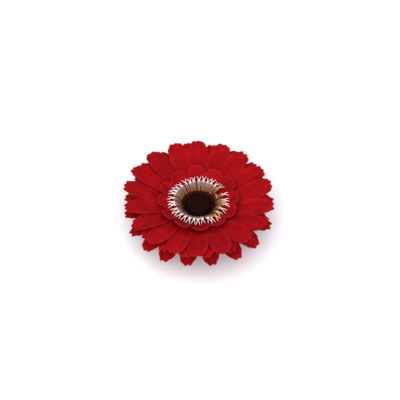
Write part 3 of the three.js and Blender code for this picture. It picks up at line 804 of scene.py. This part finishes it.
def makeButton():
    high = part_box("centre_button")[1]
    radius, top = high.x / mm, high.z / mm
    base = button["bottom"] + button["edge"]
    rise = top - base
    piece = addCylinder(72, radius, button["bottom"], base)
    selectFaces(piece, lambda centre, normal: normal.z < -0.9)
    extrude((0, 0, 0), (button["boss"] / radius, button["boss"] / radius, 1))
    extrude((0, 0, button["bossBottom"] - button["bottom"]))
    objectMode()
    selectFaces(piece, lambda centre, normal: normal.z > 0.9)
    last = 1.0
    for share in (0.93, 0.8, 0.6, 0.38, 0.15):
        step = rise * (math.sqrt(1 - share * share) - math.sqrt(1 - last * last))
        extrude((0, 0, step), (share / last, share / last, 1))
        last = share
    objectMode()
    setAttribute(piece, "tip", [0.0] * len(piece.data.vertices))
    bud = addCylinder(6, button["budRadius"], 0, button["budHeight"] * 0.5)
    selectFaces(bud, lambda centre, normal: normal.z > 0.9)
    extrude((0, 0, button["budHeight"] * 0.35), (0.75, 0.75, 1))
    extrude((0, 0, button["budHeight"] * 0.15), (0.45, 0.45, 1))
    objectMode()
    # the buds' tips take half of the painted highlight
    setAttribute(bud, "tip", [0.5 * point.co.z / mm / button["budHeight"] for point in bud.data.vertices])
    draw = random.Random(button["seed"])
    pieces = [piece]
    for i in range(button["buds"]):
        share = button["spread"] * math.sqrt((i + 0.5) / button["buds"])
        degrees = i * button["goldenAngle"]
        height = base + rise * math.sqrt(1 - share * share) - button["budSunk"]
        x, y = turned(share * radius, 0, degrees)
        twin = copyOf(bud)
        twin.data.transform(
            Matrix.Translation((x * mm, y * mm, height * mm))
            @ Matrix.Rotation(math.radians(degrees), 4, "Z")
            @ Matrix.Rotation(math.radians(button["budLean"] * share ** 2 + draw.uniform(-6, 6)), 4, "Y")
            @ Matrix.Scale(draw.uniform(0.8, 1.15), 4))
        pieces.append(twin)
    remove(bud)
    whole = joined(pieces)
    smooth(whole, 40)
    finishPiece(whole, "centre_bud_button", darkPlastic, "centre_button")
    print("centre button made")


makeBristleRing()
makeButton()


# the calyx cup has an upright foot, a flared wall with ribs that look like folded sepals, and a spike that
# the sheets, the crown and the button are pressed on to
calyx = {
    "sides": 96, "foot": 6.5, "upright": 1.55, "rim": 9.8, "top": 14.35, "spike": 1.5, "sepals": 12,
    "relief": 0.3,
}


def makeCalyx():
    low, spikeTop = (corner.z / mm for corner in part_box("calyx_cup"))
    top = calyx["top"]
    height = low + calyx["upright"]
    wall = top - height
    piece = addCylinder(calyx["sides"], calyx["foot"], low, height)
    selectFaces(piece, lambda centre, normal: normal.z > 0.9)
    radius = calyx["foot"]
    last = 0.0
    for share, flare in ((0.25, 0.36), (0.5, 0.64), (0.75, 0.86), (0.93, 0.985), (1.0, 1.0)):
        newRadius = calyx["foot"] + (calyx["rim"] - calyx["foot"]) * flare
        extrude((0, 0, wall * (share - last)), (newRadius / radius, newRadius / radius, 1))
        radius, last = newRadius, share
    extrude((0, 0, -0.2), (0.9, 0.9, 1))
    extrude((0, 0, 0), (calyx["spike"] / (radius * 0.9),) * 2 + (1,))
    extrude((0, 0, spikeTop - top - 0.3))
    extrude((0, 0, 0.5), (0.6, 0.6, 1))
    objectMode()
    # each sepal is broad at the rim and comes to a point at the foot
    turn = 360 / calyx["sepals"]
    for point in piece.data.vertices:
        x, y, z = point.co / mm
        away = math.hypot(x, y)
        if away < calyx["foot"] - 0.1 or z > top - 0.02 or z < low + 0.3:
            continue
        share = (z - low) / (top - low)
        aside = abs((math.degrees(math.atan2(y, x)) + turn / 2) % turn - turn / 2) / (turn / 2)
        raised = 1 - ease(aside, 0.25 + 0.5 * share, 0.45 + 0.55 * share)
        ridge = 0.5 * math.exp(-(aside / 0.18) ** 2)
        grow = 1 + calyx["relief"] * (raised + ridge) * math.sin(math.pi * share) ** 0.5 / away
        point.co = (x * grow * mm, y * grow * mm, z * mm)
    smooth(piece, 35)
    finishPiece(piece, "calyx_ribbed_cup", greenPlastic, "calyx_cup")
    print("calyx made")


makeCalyx()


# a bead of glue round the calyx's foot and a pad of it on the bar, both squeezed out unevenly
bead = {"radius": 7.15, "inner": 6.56, "thickness": 0.62, "lumps": 0.35, "seed": 2}
pad = {"length": 27.0, "width": 10.5, "intoBar": 0.05, "intoFelt": 0.2, "lumpSize": 2.5, "seed": 4}


def makeBead():
    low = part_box("calyx_glue")[0].z / mm
    bpy.ops.mesh.primitive_torus_add(
        major_segments=120, minor_segments=14, major_radius=bead["radius"] * mm,
        minor_radius=bead["thickness"] * mm, location=(0, 0, (low + 0.5) * mm))
    piece = settle(active())
    for point in piece.data.vertices:
        x, y, z = point.co / mm
        lump = noise.noise(Vector((x / 1.6, y / 1.6, bead["seed"])))
        away = math.hypot(x, y)
        outward = max(0.0, away - bead["radius"]) / bead["thickness"]
        away = max(away + bead["lumps"] * (0.4 + lump) * outward, bead["inner"])
        x, y = turned(away, 0, math.degrees(math.atan2(y, x)))
        point.co = (x * mm, y * mm, max(low + (z - low) * (1 + 0.5 * lump), low) * mm)
    smooth(piece, 60)
    finishPiece(piece, "calyx_glue_bead", glue, "calyx_glue")


def makePad():
    low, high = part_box("clip_glue")
    middle = (low + high) / 2 / mm
    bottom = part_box("clip_bar")[1].z / mm - pad["intoBar"]
    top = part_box("felt_disc")[0].z / mm + pad["intoFelt"]
    piece = addCylinder(96, pad["width"] / 2, bottom, top)
    bpy.ops.object.mode_set(mode="EDIT")
    bpy.ops.mesh.select_all(action="SELECT")
    bpy.ops.mesh.bisect(plane_co=(0, 0, middle.z * mm), plane_no=(0, 0, 1))
    objectMode()
    stretch = (pad["length"] - pad["width"]) / 2
    for point in piece.data.vertices:
        x, y, z = point.co / mm
        lump = noise.noise(Vector((x / pad["lumpSize"], y / pad["lumpSize"], pad["seed"])))
        bulge = 1 + 0.05 * lump + (0.06 if abs(z - middle.z) < 0.05 else 0.0)
        x = x * bulge + math.copysign(stretch, x) * min(1.0, abs(x))
        point.co = ((x + middle.x) * mm, y * bulge * mm, z * mm)
    smooth(piece, 60)
    finishPiece(piece, "clip_glue_pad", glue, "clip_glue")
    print("glue made")


makeBead()
makePad()


# the felt disc is cut by hand, so its edge wanders a little and its fibres stand out from the cut
feltDisc = {
    "thickness": 1.5, "rings": 26, "around": 200, "inset": 0.3, "wander": 0.25, "fuzz": 0.16, "sag": 0.05,
    "roundEdge": 0.2, "seed": 6,
}


def makeFeltDisc():
    low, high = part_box("felt_disc")
    full, middle = high.x / mm, (low.z + high.z) / 2 / mm
    points, faces = [(0, 0, middle * mm)], []
    rings, around = feltDisc["rings"], feltDisc["around"]
    for ring in range(1, rings + 1):
        for i in range(around):
            x, y = turned(1, 0, i * 360 / around)
            reach = full - feltDisc["inset"]
            reach += feltDisc["wander"] * noise.noise(Vector((2 * x, 2 * y, feltDisc["seed"])))
            if ring == rings:
                reach += feltDisc["fuzz"] * noise.noise(Vector((30 * x, 30 * y, feltDisc["seed"])))
            away = reach * (ring / rings) ** 0.8
            sag = feltDisc["sag"] * noise.noise(Vector((x * away / 4, y * away / 4, 1)))
            points.append((x * away * mm, y * away * mm, (middle + sag) * mm))
    for i in range(around):
        faces.append((0, 1 + i, 1 + (i + 1) % around))
    for ring in range(rings - 1):
        for i in range(around):
            a, b = 1 + ring * around + i, 1 + ring * around + (i + 1) % around
            faces.append((a, a + around, b + around, b))
    mesh = bpy.data.meshes.new("felt")
    mesh.from_pydata(points, [], faces)
    piece = bpy.data.objects.new("felt", mesh)
    bpy.context.collection.objects.link(piece)
    applyModifier(piece, "SOLIDIFY", thickness=feltDisc["thickness"] * mm, offset=0.0)
    applyModifier(
        piece, "BEVEL", width=feltDisc["roundEdge"] * mm, segments=2, limit_method="ANGLE",
        angle_limit=math.radians(60))
    smooth(piece, 60)
    finishPiece(piece, "felt_backing_disc", felt, "felt_disc")
    print("felt disc made")


makeFeltDisc()


# the hinge pin is headed over at both ends
pin = {"radius": 0.95, "head": 1.55, "headInside": 4.15}


def makePin():
    piece = addCylinder(40, pin["radius"], -pin["headInside"], pin["headInside"])
    for side in (-1, 1):
        selectFaces(piece, lambda centre, normal: normal.z * side > 0.9)
        extrude((0, 0, 0), (pin["head"] / pin["radius"],) * 2 + (1,))
        extrude((0, 0, side * 0.22))
        for rise, shrink in ((0.2, 0.86), (0.12, 0.72), (0.06, 0.5)):
            extrude((0, 0, side * rise), (shrink, shrink, 1))
        objectMode()
    piece.data.transform(Matrix.Translation(hinge) @ Matrix.Rotation(math.pi / 2, 4, "X"))
    smooth(piece, 35)
    finishPiece(piece, "hinge_rivet_pin", nickel, "hinge_pin")


# the torsion spring is one wire: a leg under the bar, a coil round the pin, and a leg on the fork's tail
spring = {"wire": 0.7, "coilRadius": 1.7, "turns": 3.5, "halfCoil": 1.5225, "leg": 12.0, "legRise": 1.2}


def springLeg(side):
    # from the coil outwards; side is 1 for the leg under the bar and -1 for the one on the fork
    return [
        (-spring["leg"] * i / 12, side * spring["halfCoil"],
         side * (spring["coilRadius"] + spring["legRise"] * ease(i, 0, 12)))
        for i in range(1, 13)]


def makeSpring():
    steps = 100
    coil = []
    for i in range(steps + 1):
        turn = math.radians(90 - 360 * spring["turns"] * i / steps)
        coil.append((spring["coilRadius"] * math.cos(turn), spring["halfCoil"] * (1 - 2 * i / steps),
                     spring["coilRadius"] * math.sin(turn)))
    route = springLeg(1)[::-1] + coil + springLeg(-1)
    curve = bpy.data.curves.new("spring", "CURVE")
    curve.dimensions = "3D"
    curve.bevel_depth = spring["wire"] / 2 * mm
    curve.bevel_resolution = 4
    curve.use_fill_caps = True
    line = curve.splines.new("POLY")
    line.points.add(len(route) - 1)
    for point, place in zip(line.points, route):
        point.co = (*(hinge + Vector(place) * mm), 1)
    piece = bpy.data.objects.new("spring", curve)
    bpy.context.collection.objects.link(piece)
    pickOnly(piece)
    bpy.ops.object.convert(target="MESH")
    piece = active()
    smooth(piece, 60)
    finishPiece(piece, "torsion_spring_wire", wire, "torsion_spring", body=None)
    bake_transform(piece)
    print("pin and spring made")


makePin()
makeSpring()


# the bar and the fork keep their own shapes, with every pressed edge slightly rounded
clipEdge = {"round": 0.12, "segments": 2, "merge": 0.001, "sharperThan": 35}
for node in ("clip_bar", "clip_fork"):
    plate = frame["nodes"][node]
    plate.data.materials.clear()
    plate.data.materials.append(nickel)
    weld = plate.modifiers.new("weld", "WELD")
    weld.merge_threshold = clipEdge["merge"] * mm
    bevel = plate.modifiers.new("bevel", "BEVEL")
    bevel.width = clipEdge["round"] * mm
    bevel.segments = clipEdge["segments"]
    bevel.limit_method = "ANGLE"
    bevel.angle_limit = math.radians(clipEdge["sharperThan"])
print("clip plated")


# a white table, a wide soft light overhead and another in front, which fills the shadow
studio = {
    "floor": "#e6e6eb", "floorSize": 4.0, "world": 0.9,
    "lights": [(-0.2, -0.2, 1.0, 1.0, 5.0), (0.1, -0.9, 0.7, 1.0, 9.0)],  # place, size and power
    "elevation": 50.2, "distance": 1.81, "lens": 250.0, "aim": (0.001, 0.0, 0.0242), "floorDrop": 0.05,
}


def makeStudio():
    bpy.ops.mesh.primitive_plane_add(size=studio["floorSize"], location=(0, 0, -studio["floorDrop"] * mm))
    floor = active()
    floor.name = "table_top"
    laminate, tree, _ = newMaterial("white laminate, smooth")
    surface = addNode(tree, "BsdfPrincipled", None, {
        "Base Color": linear(studio["floor"]), "Roughness": 0.9, "Specular IOR Level": 0.1})["BSDF"]
    addNode(tree, "OutputMaterial", None, {"Surface": surface})
    floor.data.materials.append(laminate)
    world = bpy.data.worlds.new("soft studio")
    world.use_nodes = True
    world.node_tree.nodes["Background"].inputs["Color"].default_value = (1, 1, 1, 1)
    world.node_tree.nodes["Background"].inputs["Strength"].default_value = studio["world"]
    bpy.context.scene.world = world
    target = Vector(studio["aim"])
    for x, y, z, size, power in studio["lights"]:
        bpy.ops.object.light_add(type="AREA", location=(x, y, z))
        lamp = active()
        lamp.data.size = size
        lamp.data.energy = power
        lamp.rotation_euler = (target - lamp.location).to_track_quat("-Z", "Y").to_euler()
    up = math.radians(studio["elevation"])
    place = target + studio["distance"] * Vector((0, -math.cos(up), math.sin(up)))
    bpy.ops.object.camera_add(location=place)
    camera = active()
    camera.rotation_euler = (target - place).to_track_quat("-Z", "Y").to_euler()
    camera.data.lens = studio["lens"]
    camera.data.clip_start = 0.01
    bpy.context.scene.camera = camera
    bpy.context.scene.view_settings.view_transform = "Standard"
    print("studio set")


makeStudio()
